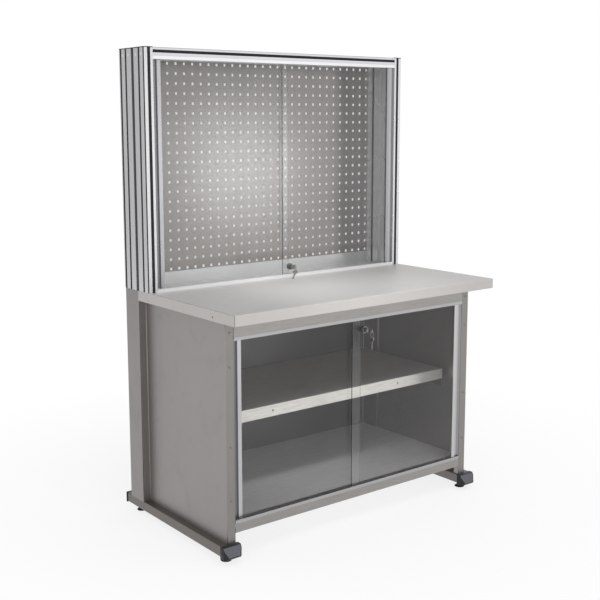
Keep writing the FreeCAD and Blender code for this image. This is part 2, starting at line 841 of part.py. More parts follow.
def lock_plug(doors):
    x = doors["lock_x"]
    z = doors["lock_z"]
    front = plug_front(doors)
    plug_length = lock_plug_proud + lock_plug_depth
    plug = toward_front(lock_plug_radius, x, front + plug_length, z, plug_length)
    half_slot = key_thickness / 2 + key_slot_gap
    half_blade = key_blade / 2 + key_slot_gap
    slot_y = (front - overrun, front + key_reach)
    return plug.cut(block((x - half_slot, x + half_slot), slot_y, (z - half_blade, z + half_blade)))


def key_bow(x, y, z, hole_y, hole_z):
    """A round flat bow and the cutter of its hole."""
    thick_x = x - key_thickness / 2
    bow = Part.makeCylinder(bow_radius, key_thickness, V(thick_x, y, z), V(1, 0, 0))
    start = V(thick_x - overrun, hole_y, hole_z)
    return bow, Part.makeCylinder(key_hole_radius, key_thickness + 2 * overrun, start, V(1, 0, 0))


def lock_key(doors):
    """The key in the lock, its bow in line with the plug."""
    x = doors["lock_x"]
    y = bow_y(doors)
    z = doors["lock_z"]
    thick = (x - key_thickness / 2, x + key_thickness / 2)
    blade = block(thick, (y, plug_front(doors) + key_reach), (z - key_blade / 2, z + key_blade / 2))
    bow, hole = key_bow(x, y, z, y - key_hole_offset, z)
    return fused([blade, bow]).cut(hole)


def spare_key(doors, hook_drop, ring_turn, lean, swing):
    """The ring and the spare key, hung from the hole of the key in the lock.

    hook_drop is how far the wire sits below the middle of that hole.

    ring_turn and lean are angles from straight down, in the ring's plane: the ring's middle
    goes to the right and the spare to the left. swing turns that plane about the vertical.
    """
    hook = V(doors["lock_x"], bow_y(doors) - key_hole_offset, doors["lock_z"] - hook_drop)
    turn = math.radians(ring_turn)
    middle = hook + V(ring_radius * math.sin(turn), 0, -ring_radius * math.cos(turn))
    ring = Part.makeTorus(ring_radius, ring_wire, middle, V(0, 1, 0))
    # The key is built straight below the ring's middle, resting on the wire, and then turned about it
    hang_z = middle.z - ring_radius - hole_slack + snug_gap
    bow_z = hang_z - key_hole_offset
    thick = (middle.x - key_thickness / 2, middle.x + key_thickness / 2)
    blade = block(thick, (middle.y - key_blade / 2, middle.y + key_blade / 2), (hang_z - spare_length, bow_z))
    bow, hole = key_bow(middle.x, middle.y, bow_z, middle.y, hang_z)
    key = fused([bow, blade]).cut(hole)
    key.rotate(middle, V(0, 1, 0), lean)
    for piece in (ring, key):
        piece.rotate(hook, V(0, 0, 1), swing)
    return [ring, key]


def save_lock(name, doors, hook_drop, ring_turn, lean, swing):
    save(name + "_lock", [lock_housing(doors), lock_ring_nut(doors)])
    save(name + "_key", [lock_plug(doors), lock_key(doors)])
    save(name + "_spare_key", spare_key(doors, hook_drop, ring_turn, lean, swing))


# The upper spare key is longer than its drop to the worktop, so it leans until its tip clears the top
cabinet_ring_turn = 30.0
cabinet_swing = 39.0
cabinet_ring_drop = ring_radius * math.cos(math.radians(cabinet_ring_turn))
cabinet_lift = worktop_height + spare_rest_gap + key_thickness / 2
cabinet_drop = cabinet_doors["lock_z"] - cabinet_ring_drop - cabinet_lift
cabinet_reach = ring_radius + hole_slack - snug_gap + spare_length
cabinet_lean = math.degrees(math.acos(cabinet_drop / cabinet_reach))
save_lock("base", base_doors, hole_slack - running_gap, 0, 0, 0)
save_lock("cabinet", cabinet_doors, 0, cabinet_ring_turn, cabinet_lean, cabinet_swing)
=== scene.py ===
import math

import bmesh
import bpy
from mathutils import Matrix, Vector


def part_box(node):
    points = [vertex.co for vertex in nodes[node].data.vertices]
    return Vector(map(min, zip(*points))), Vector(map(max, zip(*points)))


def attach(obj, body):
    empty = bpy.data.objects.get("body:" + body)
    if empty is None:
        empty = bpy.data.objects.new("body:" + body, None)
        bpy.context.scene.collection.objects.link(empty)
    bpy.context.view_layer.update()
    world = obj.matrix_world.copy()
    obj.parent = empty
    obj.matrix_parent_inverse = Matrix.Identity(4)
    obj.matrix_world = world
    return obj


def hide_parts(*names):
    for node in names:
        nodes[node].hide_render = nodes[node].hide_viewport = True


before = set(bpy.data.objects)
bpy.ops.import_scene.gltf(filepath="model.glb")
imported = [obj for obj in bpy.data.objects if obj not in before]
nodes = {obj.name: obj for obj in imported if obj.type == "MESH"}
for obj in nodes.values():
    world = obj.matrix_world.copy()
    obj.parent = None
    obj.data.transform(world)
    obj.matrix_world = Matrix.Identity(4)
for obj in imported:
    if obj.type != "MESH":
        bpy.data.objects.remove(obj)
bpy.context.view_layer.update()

# Studio floor: a large pale sheet, painted matt white.
# It keeps a soft shadow near the bench and fades into the white surround a few metres away.
# Metal mirrors it a little darker than it is seen, and through glass it looks greyer.
floor_reach = 6.0
floor_tint = (0.93, 0.93, 0.93)
fade_start = 0.6
fade_end = 2.3
floor_glow = 0.80
floor_in_metal = 0.80
through_glass = 0.74


def set_up(name, data):
    """Put a mesh, a lamp or a camera into the scene."""
    holder = bpy.data.objects.new(name, data)
    bpy.context.collection.objects.link(holder)
    return holder


def feed(tree, node, values):
    """Set a node's inputs to numbers and tints, or link them to what other nodes put out."""
    for name, value in values.items():
        socket = node.inputs[name]
        if isinstance(value, bpy.types.NodeSocket):
            tree.links.new(value, socket)
        elif socket.type == "RGBA":
            socket.default_value = (*value, 1.0)
        else:
            socket.default_value = value
    return node


def added(tree, kind, values=None, **options):
    """Add a node, choose its options and feed its inputs."""
    node = tree.nodes.new("ShaderNode" + kind)
    for option, choice in options.items():
        setattr(node, option, choice)
    return feed(tree, node, values or {})


def maths(tree, operation, *values, clamped=False):
    """What a maths node makes of these numbers or outputs."""
    numbered = dict(enumerate(values))
    return added(tree, "Math", numbered, operation=operation, use_clamp=clamped).outputs["Value"]


def measured(tree, operation, *vectors):
    """A length, a distance or a product of these vectors."""
    return added(tree, "VectorMath", dict(enumerate(vectors)), operation=operation).outputs["Value"]


def scaled(tree, vector, factor):
    """A vector or a tint times a number."""
    return added(tree, "VectorMath", {0: vector, "Scale": factor}, operation="SCALE").outputs["Vector"]


def ranged(tree, value, start, end, low, high, course="LINEAR"):
    """A value moved from one range to another and held at its ends."""
    values = {"Value": value, "From Min": start, "From Max": end, "To Min": low, "To Max": high}
    return added(tree, "MapRange", values, interpolation_type=course).outputs["Result"]


shape = bmesh.new()
bmesh.ops.create_grid(shape, x_segments=1, y_segments=1, size=floor_reach)
floor_mesh = bpy.data.meshes.new("studio_floor")
shape.to_mesh(floor_mesh)
shape.free()
set_up("studio_floor", floor_mesh)

floor_paint = bpy.data.materials.new("matt_white_floor")
floor_paint.use_nodes = True
tree = floor_paint.node_tree
tree.nodes.clear()
ray = added(tree, "LightPath").outputs
distance = measured(tree, "LENGTH", added(tree, "TexCoord").outputs["Object"])
fade = ranged(tree, distance, fade_start, fade_end, floor_glow, 1.0, "SMOOTHSTEP")
mirrored = maths(tree, "SUBTRACT", ray["Is Glossy Ray"], ray["Is Transmission Ray"], clamped=True)
in_metal = ranged(tree, mirrored, 0.0, 1.0, 1.0, floor_in_metal)
in_glass = ranged(tree, ray["Is Transmission Ray"], 0.0, 1.0, 1.0, through_glass)
toned = maths(tree, "MULTIPLY", in_metal, in_glass)
paint = added(tree, "BsdfDiffuse", {"Color": scaled(tree, floor_tint, toned)}).outputs["BSDF"]
glow = added(tree, "Emission", {"Strength": toned}).outputs["Emission"]
blend = added(tree, "MixShader", {"Fac": fade, 1: paint, 2: glow}).outputs["Shader"]
added(tree, "OutputMaterial", {"Surface": blend})
floor_mesh.materials.append(floor_paint)

# White surround: full white where it is seen, a little greyer through glass, softer as a light.
# Metal mirrors it white in front and on the right, and greyer behind the left corner.
# A soft bright window in front leaves the faint glow on the cabinet's back.
white = (1.0, 1.0, 1.0)
surround_light = 0.62
grey_corner = 0.50
grey_start = -0.2
toward_corner = (-0.1, 0.97, 0.0)
window_direction = (0.570, -0.820, -0.045)
window_spread = math.radians(6.5)
window_falloff = 3.0
window_glow = 3.9


def mixed(tree, share, first, second, kind="RGBA"):
    """The first tint or number, which turns into the second as the share rises."""
    values = {"Factor": share, "A": first, "B": second}
    return added(tree, "Mix", values, data_type=kind).outputs["Result"]


world = bpy.data.worlds.new("white_surround")
bpy.context.scene.world = world
world.use_nodes = True
tree = world.node_tree
tree.nodes.clear()
ray = added(tree, "LightPath").outputs
direction = added(tree, "TexCoord").outputs["Generated"]
nearness = measured(tree, "DOT_PRODUCT", direction, toward_corner)
greyed = ranged(tree, nearness, grey_start, 1.0, 1.0, grey_corner)
toward_window = measured(tree, "DOT_PRODUCT", direction, window_direction)
window = ranged(tree, toward_window, math.cos(window_spread), 1.0, 0.0, 1.0)
bell = maths(tree, "POWER", window, window_falloff)
lit = maths(tree, "MULTIPLY_ADD", bell, window_glow, greyed)
seen = mixed(tree, ray["Is Camera Ray"], surround_light, 1.0, "FLOAT")
through = mixed(tree, ray["Is Transmission Ray"], seen, through_glass, "FLOAT")
behind_glass = maths(tree, "MINIMUM", ray["Is Transmission Ray"], ray["Glossy Depth"])
mirrored = maths(tree, "MAXIMUM", ray["Is Glossy Ray"], behind_glass)
strength = mixed(tree, mirrored, through, lit, "FLOAT")
background = added(tree, "Background", {"Color": white, "Strength": strength})
added(tree, "OutputWorld", {"Surface": background.outputs["Background"]})


# Lamps: three large softboxes, above, in front and on the left, and a soft spot on the worktop.
# The glass and metal don't mirror them, they only light the matt surfaces.
def lamp(name, kind, power, place, target):
    """A studio lamp of a kind and power, aimed at a point."""
    light = bpy.data.lights.new(name, kind)
    light.energy = power
    holder = set_up(name, light)
    holder.location = place
    aim = Vector(target) - Vector(place)
    holder.rotation_euler = aim.to_track_quat("-Z", "Y").to_euler()
    holder.visible_glossy = False
    holder.visible_transmission = False
    return light


for name, power, place, target, width, height in (
    ("overhead_softbox", 60.0, (0.4, -1.2, 4.6), (0.0, 0.0, 0.8), 3.6, 3.0),
    ("front_softbox", 55.0, (-1.8, -4.6, 1.9), (0.0, 0.0, 0.7), 3.0, 2.4),
    ("left_softbox", 25.0, (-4.6, -1.6, 2.6), (0.0, 0.0, 0.9), 2.4, 2.4),
):
    softbox = lamp(name, "AREA", power, place, target)
    softbox.shape = "RECTANGLE"
    softbox.size = width
    softbox.size_y = height
spot = lamp("worktop_spot", "SPOT", 320.0, (-0.1, -1.6, 2.9), (-0.06, -0.08, 0.9))
spot.spot_size = math.radians(24)
spot.spot_blend = 1.0
spot.shadow_soft_size = 0.3

# Camera: at eye height in front of the left corner, with the photograph's slight rise and shift.
# The height, the distance and the lens were fitted to the bench's corners in the picture.
eye = (-2.48204, -3.07133, 1.53520)
heading = 0.647987
pitch_down = 0.151555
roll = -0.004008
lens_data = bpy.data.cameras.new("photo_camera")
lens_data.sensor_width = 36.0
lens_data.lens = 60.536
lens_data.shift_x = 0.03572
lens_data.shift_y = -0.04281
lens_data.clip_end = 200.0
camera = set_up("photo_camera", lens_data)
turn = Matrix.Rotation(-heading, 4, "Z") @ Matrix.Rotation(math.pi / 2 - pitch_down, 4, "X")
camera.matrix_world = Matrix.Translation(eye) @ turn @ Matrix.Rotation(roll, 4, "Z")
bpy.context.scene.camera = camera
bpy.context.scene.view_settings.view_transform = "Standard"


# Foot bars: rectangular stainless tubes that lie along both sides, a hand's breadth above the floor.
# All the sheet and tube of the bench is brushed, so the brushing is made once here as an effect:
# fine lines along the piece, broader streaks, slow changes of tone, and smudges left by hands.
def effect(name, inputs, outputs):
    """A new node group, the outputs that bring what it is given, and its end node."""
    group = bpy.data.node_groups.new(name, "ShaderNodeTree")
    for label, value in inputs.items():
        kind = "NodeSocketFloat" if isinstance(value, float) else "NodeSocketVector"
        socket = group.interface.new_socket(label, in_out="INPUT", socket_type=kind)
        socket.default_value = value
    for label in outputs:
        group.interface.new_socket(label, in_out="OUTPUT", socket_type="NodeSocketFloat")
    return group, group.nodes.new("NodeGroupInput").outputs, group.nodes.new("NodeGroupOutput")


def noise(tree, place, scale, detail, roughness=0.5, distortion=0.0):
    """Soft random spots, with their size, detail and twist."""
    values = {"Vector": place, "Scale": scale, "Detail": detail}
    values.update({"Roughness": roughness, "Distortion": distortion})
    return added(tree, "TexNoise", values).outputs["Fac"]


def part_of(tree, vector, axis):
    """The part of a vector along one axis."""
    return added(tree, "SeparateXYZ", {"Vector": vector}).outputs[axis]


def swing(tree, source, amount):
    """A noise around zero, times an amount."""
    return maths(tree, "MULTIPLY", maths(tree, "SUBTRACT", source, 0.5), amount)


brushing, given, result = effect(
    "brushing",
    {"Stretch": (500.0, 500.0, 4.0), "Streaks": 0.1, "Clouds": 0.1, "Cloud Size": 3.0},
    ("Shade", "Line", "Cloud", "Smudge"),
)
place = added(brushing, "TexCoord").outputs["Object"]
drawn_out = {0: place, 1: given["Stretch"]}
stretched = added(brushing, "VectorMath", drawn_out, operation="MULTIPLY").outputs["Vector"]
line = noise(brushing, stretched, 1.0, 4.0)
streak = noise(brushing, stretched, 0.31, 3.0, 0.7)
cloud = noise(brushing, place, given["Cloud Size"], 3.0, 0.45)
touched = noise(brushing, place, 9.0, 4.0, distortion=1.4)
smudge = ranged(brushing, touched, 0.52, 0.74, 0.0, 1.0, "SMOOTHSTEP")
fine_lines = swing(brushing, line, given["Streaks"])
lines = maths(brushing, "ADD", fine_lines, swing(brushing, streak, given["Streaks"]))
tones = maths(brushing, "ADD", lines, swing(brushing, cloud, given["Clouds"]))
shade = maths(brushing, "ADD", 1.0, tones)
dulled = maths(brushing, "MULTIPLY_ADD", smudge, -0.02, shade)
feed(brushing, result, {"Shade": dulled, "Line": line, "Cloud": cloud, "Smudge": smudge})

# Two masks go with it: what faces a direction, and a band on both sides of the bench.
# How far a face has turned to a direction is 1.0 where it faces it straight.
clearly_facing = 0.7
facing_inputs = {"Direction": (0.0, 0.0, 1.0), "Least": clearly_facing}
facing_mask, given, result = effect("facing", facing_inputs, ("Mask",))
normal = added(facing_mask, "TexCoord").outputs["Normal"]
turned_there = measured(facing_mask, "DOT_PRODUCT", normal, given["Direction"])
feed(facing_mask, result, {"Mask": maths(facing_mask, "GREATER_THAN", turned_there, given["Least"])})

band_mask, given, result = effect("band", {"From Middle": 0.6, "Half Width": 0.01}, ("Mask",))
place = added(band_mask, "TexCoord").outputs
sideways = maths(band_mask, "ABSOLUTE", part_of(band_mask, place["Object"], "X"))
inside = maths(band_mask, "COMPARE", sideways, given["From Middle"], given["Half Width"])
not_behind = maths(band_mask, "LESS_THAN", part_of(band_mask, place["Normal"], "Y"), clearly_facing)
feed(band_mask, result, {"Mask": maths(band_mask, "MULTIPLY", inside, not_behind)})

line_depth = 0.001
along = {
    "X": (4.0, 520.0, 520.0),
    "Y": (520.0, 4.0, 520.0),
    "Z": (520.0, 520.0, 4.0),
    "short X": (26.0, 300.0, 300.0),
}


def new_finish(name):
    """A fresh material, its node tree and its shader."""
    material = bpy.data.materials.new(name)
    material.use_nodes = True
    return material, material.node_tree, material.node_tree.nodes["Principled BSDF"]


def grouped(tree, group, values):
    """Place an effect in a material with its own values."""
    return added(tree, "Group", values, node_tree=group).outputs


def raised(tree, height, strength, distance):
    """The normals of a surface with this relief."""
    values = {"Height": height, "Strength": strength, "Distance": distance}
    return added(tree, "Bump", values).outputs["Normal"]


def metal(
    name,
    tint,
    grain,
    roughness,
    streaks=0.10,
    clouds=0.15,
    cloud_size=3.0,
    relief=0.04,
    band=None,
    side=None,
    smudges=0.05,
    shine=1.0,
):
    """Brushed metal: a tint, the direction of its grain and how matt it is.

    A band is a strip of another tint on both sides of the bench, but not on its back: its distance
    from the middle, its half width and the tint. What faces one direction can have its own tint.
    Both are used here to paint shade, highlights and reflections into the colour.
    """
    material, tree, shader = new_finish(name)
    values = {"Stretch": along[grain], "Streaks": streaks, "Clouds": clouds, "Cloud Size": cloud_size}
    brushed = grouped(tree, brushing, values)
    if side:
        facing, side_tint = side
        mask = grouped(tree, facing_mask, {"Direction": facing, "Least": clearly_facing})["Mask"]
        tint = mixed(tree, mask, tint, side_tint)
    if band:
        from_middle, half_width, band_tint = band
        mask = grouped(tree, band_mask, {"From Middle": from_middle, "Half Width": half_width})["Mask"]
        tint = mixed(tree, mask, tint, band_tint)
    matt = ranged(tree, brushed["Cloud"], 0.25, 0.75, roughness - 0.05, roughness + 0.05)
    values = {
        "Base Color": scaled(tree, tint, brushed["Shade"]),
        "Roughness": maths(tree, "MULTIPLY_ADD", brushed["Smudge"], smudges, matt),
        "Metallic": shine,
        "Normal": raised(tree, brushed["Line"], relief, line_depth),
    }
    feed(tree, shader, values)
    return material


def dress(material, *names):
    """Give a CAD node's surface its finish."""
    for name in names:
        for slot in nodes[name].material_slots:
            slot.material = material


def soften(width, *names):
    """Join a node's facets and break its edges, as on metal that was cut, folded or drawn."""
    for name in names:
        joined = nodes[name].modifiers.new("joined", "WELD")
        joined.merge_threshold = 0.00001
        rounded = nodes[name].modifiers.new("broken_edges", "BEVEL")
        rounded.width = width
        rounded.segments = 2
        rounded.limit_method = "ANGLE"
        rounded.angle_limit = math.radians(50)
        rounded.harden_normals = True


bar_steel = metal("bar_steel", (0.225, 0.21, 0.20), "Y", 0.36)
dress(bar_steel, "foot_bar_left", "foot_bar_right")
soften(0.0006, "foot_bar_left", "foot_bar_right")

# Foot bar nuts: hexagon nuts of zinc-plated steel, welded inside the bars over the studs' holes.
# They are only seen through the open tube when the caps are off.
nut_zinc = metal("nut_zinc", (0.45, 0.45, 0.42), "Z", 0.4, clouds=0.25, cloud_size=60.0)
dress(nut_zinc, "foot_bar_nuts")
soften(0.0005, "foot_bar_nuts")


# Front foot caps: black moulded plastic toes, pushed into the front ends of the bars.
# The sloped face has a raised frame round a smooth field, painted lighter as a sheen, and all edges are
# rounded.
# Moulded plastic has a fine matt texture and picks up some dust on top.
dust_tint = (0.32, 0.31, 0.30)
straight_facing = 0.97
grit_depth = 0.0004
moulding, given, result = effect("moulding", {"Dust": 0.0}, ("Grain", "Patch", "Dusty"))
place = added(moulding, "TexCoord").outputs
patch = noise(moulding, place["Object"], 35.0, 4.0)
upward = part_of(moulding, place["Normal"], "Z")
settled = maths(moulding, "MULTIPLY", upward, patch, clamped=True)
worn = maths(moulding, "MULTIPLY", patch, 0.06)
dusty = maths(moulding, "MULTIPLY_ADD", settled, given["Dust"], worn)
grit = noise(moulding, place["Object"], 900.0, 2.0)
feed(moulding, result, {"Grain": grit, "Patch": patch, "Dusty": dusty})


def plastic(name, tint, roughness, texture=0.12, dust=0.0, field=None):
    """Moulded plastic with a fine texture, and dust on what faces up.

    A field is a face that lies back from a plane: the plane's normal, its place along that
    normal and the field's tint, a painted sheen.
    """
    material, tree, shader = new_finish(name)
    moulded = grouped(tree, moulding, {"Dust": dust})
    if field:
        facing, plane, field_sheen_tint = field
        level = measured(tree, "DOT_PRODUCT", added(tree, "TexCoord").outputs["Object"], facing)
        flat = grouped(tree, facing_mask, {"Direction": facing, "Least": straight_facing})["Mask"]
        recessed = maths(tree, "MULTIPLY", flat, maths(tree, "LESS_THAN", level, plane))
        tint = mixed(tree, recessed, tint, field_sheen_tint)
    values = {
        "Base Color": mixed(tree, moulded["Dusty"], tint, dust_tint),
        "Roughness": ranged(tree, moulded["Patch"], 0.0, 1.0, roughness - 0.08, roughness + 0.08),
        "Specular IOR Level": 0.3,
        "Normal": raised(tree, moulded["Grain"], texture, grit_depth),
    }
    feed(tree, shader, values)
    return material


def boxed(shape, x, y, z):
    """Add a box between these pairs of limits and return its corners."""
    size = (x[1] - x[0], y[1] - y[0], z[1] - z[0])
    middle = ((x[0] + x[1]) / 2, (y[0] + y[1]) / 2, (z[0] + z[1]) / 2)
    placed = Matrix.Translation(middle) @ Matrix.Diagonal((*size, 1.0))
    return bmesh.ops.create_cube(shape, size=1.0, matrix=placed)["verts"]


def trimmed(shape, point, facing):
    """Saw off what lies beyond a plane and close the cut."""
    everything = shape.verts[:] + shape.edges[:] + shape.faces[:]
    bmesh.ops.bisect_plane(shape, geom=everything, plane_co=point, plane_no=facing, clear_outer=True)
    open_edges = [edge for edge in shape.edges if edge.is_boundary]
    bmesh.ops.holes_fill(shape, edges=open_edges)


def rounded_edges(shape, radius, steps=3, sharper_than=20.0):
    """Round every edge that is sharper than an angle."""
    limit = math.radians(sharper_than)
    sharp = [edge for edge in shape.edges if edge.is_manifold and edge.calc_face_angle() > limit]
    bmesh.ops.bevel(
        shape,
        geom=sharp,
        offset=radius,
        segments=steps,
        affect="EDGES",
        profile=0.5,
        material=-1,
        clamp_overlap=True,
    )


def copied(shape, matrix):
    """Add a moved or mirrored copy of everything made so far."""
    twin = bmesh.ops.duplicate(shape, geom=shape.verts[:] + shape.edges[:] + shape.faces[:])["geom"]
    corners = [part for part in twin if isinstance(part, bmesh.types.BMVert)]
    bmesh.ops.transform(shape, matrix=matrix, verts=corners)


def finished(name, shape, material, body, slot, *stands_for):
    """Close a new piece, give it its finish, hide the parts it stands for and make it move with its body."""
    bmesh.ops.remove_doubles(shape, verts=shape.verts, dist=0.000002)
    bmesh.ops.recalc_face_normals(shape, faces=shape.faces)
    for face in shape.faces:
        face.smooth = True
    mesh = bpy.data.meshes.new(name)
    shape.to_mesh(mesh)
    shape.free()
    mesh.set_sharp_from_angle(angle=math.radians(35))
    mesh.materials.append(material)
    piece = set_up(name, mesh)
    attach(piece, body)
    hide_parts(*stands_for)
    return piece


mirror_x = Matrix.Diagonal((-1.0, 1.0, 1.0, 1.0))
toe_top_length = 0.018
toe_nose_rise = 0.007
toe_nose_cut = 0.007
toe_corner = 0.014
toe_frame = 0.005
toe_recess = 0.0014
toe_edge = 0.0009
tongue_wall = 0.0021
bar_low, bar_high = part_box("foot_bar_right")
caps_low, caps_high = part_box("front_foot_caps")
cap_inner_x = bar_low.x - (caps_high.x - bar_high.x)
toe_back_y = bar_low.y
shape = bmesh.new()
boxed(shape, (cap_inner_x, caps_high.x), (caps_low.y, toe_back_y), (caps_low.z, caps_high.z))
toe_length = toe_back_y - caps_low.y
slope_rise = caps_high.z - caps_low.z - toe_nose_rise
slope_run = toe_length - toe_top_length
slope_facing = Vector((0.0, -slope_rise, slope_run))
trimmed(shape, (0.0, toe_back_y - toe_top_length, caps_high.z), slope_facing)
nose_facing = (0.0, -toe_nose_rise, -toe_nose_cut)
trimmed(shape, (0.0, caps_low.y, caps_low.z + toe_nose_rise), nose_facing)
trimmed(shape, (cap_inner_x + toe_corner, caps_low.y, 0.0), (-1.0, -1.0, 0.0))
trimmed(shape, (caps_high.x - toe_corner, caps_low.y, 0.0), (1.0, -1.0, 0.0))
bmesh.ops.remove_doubles(shape, verts=shape.verts, dist=0.00001)
bmesh.ops.recalc_face_normals(shape, faces=shape.faces)
slope_facing.normalize()
slope = [face for face in shape.faces if face.normal.dot(slope_facing) > 0.99]
bmesh.ops.inset_individual(shape, faces=slope, thickness=toe_frame, depth=-toe_recess, use_even_offset=True)
rounded_edges(shape, toe_edge)
tongue_x = (bar_low.x + tongue_wall, bar_high.x - tongue_wall)
tongue_z = (bar_low.z + tongue_wall, bar_high.z - tongue_wall)
boxed(shape, tongue_x, (toe_back_y, caps_high.y), tongue_z)
copied(shape, mirror_x)
slope_place = Vector((0.0, toe_back_y - toe_top_length, caps_high.z)).dot(slope_facing)
# The field is painted a lighter blue-grey than the frame, as a painted sheen of the sky.
toe_field_painted_sheen = (slope_facing, slope_place - toe_recess / 2, (0.10, 0.103, 0.118))
cap_plastic = plastic("cap_plastic", (0.008, 0.008, 0.011), 0.26, dust=0.03, field=toe_field_painted_sheen)
finished("front_toe_caps", shape, cap_plastic, "bench", "black_plastic", "front_foot_caps")

# Rear foot caps: flat black plugs of the same plastic, pushed into the rear ends of the bars.
# Each is a plate with rounded edges in front of a hollow tongue that grips the tube.
plug_edge = 0.002
plugs_low, plugs_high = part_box("rear_foot_caps")
shape = bmesh.new()
boxed(shape, (cap_inner_x, plugs_high.x), (bar_high.y, plugs_high.y), (plugs_low.z, plugs_high.z))
rounded_edges(shape, plug_edge)
boxed(shape, tongue_x, (plugs_low.y, bar_high.y), tongue_z)
copied(shape, mirror_x)
finished("rear_plug_caps", shape, cap_plastic, "bench", "black_plastic", "rear_foot_caps")


# Levelling feet: round black pads moulded on zinc-plated threaded studs.
# The studs screw up into the nuts in the bars, and the pads have a step and a rounded rim.
def stood(shape, before, place, facing):
    """Stand what was made since at a place, with its axis along a direction."""
    made = [corner for corner in shape.verts if corner not in before]
    turn = Vector(facing).to_track_quat("Z", "Y").to_matrix().to_4x4()
    bmesh.ops.transform(shape, matrix=Matrix.Translation(place) @ turn, verts=made)


def turned(shape, outline, place=(0.0, 0.0, 0.0), facing=(0.0, 0.0, 1.0), steps=48):
    """Turn an outline of radius and height points on a lathe, stood at a place along a direction."""
    before = set(shape.verts)
    corners = [shape.verts.new((radius, 0.0, height)) for radius, height in outline]
    edges = [shape.edges.new(pair) for pair in zip(corners, corners[1:])]
    bmesh.ops.spin(
        shape,
        geom=corners + edges,
        cent=(0.0, 0.0, 0.0),
        axis=(0.0, 0.0, 1.0),
        angle=2 * math.pi,
        steps=steps,
        use_merge=True,
    )
    stood(shape, before, place, facing)


def threaded(shape, radius, depth, pitch, low_z, high_z, steps=24):
    """A screw thread round the vertical axis, cut flat at both ends."""
    turns = math.ceil((high_z - low_z) / pitch) + 2
    start_z = low_z - 1.5 * pitch
    outline = ((radius - depth, 0.0), (radius, 0.44), (radius, 0.56), (radius - depth, 1.0))
    corners = [shape.verts.new((reach, 0.0, start_z + share * pitch)) for reach, share in outline]
    edges = [shape.edges.new(pair) for pair in zip(corners, corners[1:])]
    bmesh.ops.spin(
        shape,
        geom=corners + edges,
        cent=(0.0, 0.0, 0.0),
        axis=(0.0, 0.0, 1.0),
        dvec=(0.0, 0.0, pitch / steps),
        angle=2 * math.pi * turns,
        steps=steps * turns,
    )
    bmesh.ops.remove_doubles(shape, verts=shape.verts, dist=0.00001)
    trimmed(shape, (0.0, 0.0, low_z), (0.0, 0.0, -1.0))
    trimmed(shape, (0.0, 0.0, high_z), (0.0, 0.0, 1.0))


foot_plastic = plastic("foot_plastic", (0.012, 0.012, 0.013), 0.5)
stud_zinc = metal("stud_zinc", (0.50, 0.50, 0.47), "Z", 0.32, clouds=0.2, cloud_size=60.0)
pad_outline = (
    (0.0, 0.0),
    (0.0190, 0.0),
    (0.0197, 0.0003),
    (0.0200, 0.0010),
    (0.0194, 0.0026),
    (0.0186, 0.0032),
    (0.0152, 0.0036),
    (0.0134, 0.0050),
    (0.0128, 0.0084),
    (0.0120, 0.0090),
    (0.0, 0.0090),
)
stud_radius = 0.0049
thread_depth = 0.0007
thread_pitch = 0.0015
thread_start = 0.0088
for end in ("front", "rear"):
    for side in ("left", "right"):
        node = "levelling_foot_" + end + "_" + side
        foot_low, foot_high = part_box(node)
        middle = ((foot_low.x + foot_high.x) / 2, (foot_low.y + foot_high.y) / 2, 0.0)
        centre = Matrix.Translation(middle)
        shape = bmesh.new()
        turned(shape, pad_outline)
        bmesh.ops.transform(shape, matrix=centre, verts=shape.verts)
        finished("foot_pad_" + end + "_" + side, shape, foot_plastic, node, "black_plastic", node)
        shape = bmesh.new()
        threaded(shape, stud_radius, thread_depth, thread_pitch, thread_start, foot_high.z)
        bmesh.ops.transform(shape, matrix=centre, verts=shape.verts)
        finished("foot_stud_" + end + "_" + side, shape, stud_zinc, node, "zinc_steel", node)

# Rear posts: wide folded box sections of stainless sheet that stand on the bars and carry the cabinet.
# They are brushed upright, and a little darker than the panels in front of them.
# The posts' front returns are painted dark, as painted shade in the corner beside the panels.
post_return_painted_shade = (0.6180, 0.0155, (0.15, 0.142, 0.145))
post_steel = metal("post_steel", (0.35, 0.332, 0.325), "Z", 0.38, band=post_return_painted_shade)
dress(post_steel, "rear_post_left", "rear_post_right")
soften(0.0008, "rear_post_left", "rear_post_right")

# Side panels: large folded sheets, and their front fold is the leg beside the doors.
# The brushing runs upright, with faint rolling marks and hand smudges on the open face.
to_front = (0.0, -1.0, 0.0)
# The forward faces of the legs are painted darker than the panels, as painted shade.
leg_painted_shade_tint = (0.315, 0.30, 0.285)
panel_tint = (0.395, 0.37, 0.364)
leg_shaded_front = (to_front, leg_painted_shade_tint)
panel_steel = metal("panel_steel", panel_tint, "Z", 0.42, 0.06, 0.26, 1.7, relief=0.006, side=leg_shaded_front)
dress(panel_steel, "side_panel_left", "side_panel_right")
soften(0.0006, "side_panel_left", "side_panel_right")

# Front rails: folded channels between the legs, below and above the doors.
# They are brushed along their length, the upper one is twice as high.
rail_steel = metal("rail_steel", (0.385, 0.37, 0.357), "short X", 0.36, streaks=0.24, clouds=0.2)
dress(rail_steel, "front_bottom_rail", "front_top_rail")
soften(0.0006, "front_bottom_rail", "front_top_rail")

# Rear rails: the same channels behind, which hold the back sheet and the rear edge of the floor.
# They are hardly seen from the front.
dress(rail_steel, "rear_bottom_rail", "rear_top_rail")
soften(0.0006, "rear_bottom_rail", "rear_top_rail")

# Back panel: a flat stainless sheet riveted behind the cupboard.
# Inside the cupboard little light reaches it: its inner face is painted much darker than its outer face as
# shade, and it is duller than the outer sheets.
behind = (0.0, 1.0, 0.0)
outer_tint = (0.36, 0.342, 0.335)
inside_steel_painted_shade = metal("inside_steel_painted_shade", (0.21, 0.203, 0.21), "X", 0.46, side=(behind, outer_tint))
dress(inside_steel_painted_shade, "back_panel")

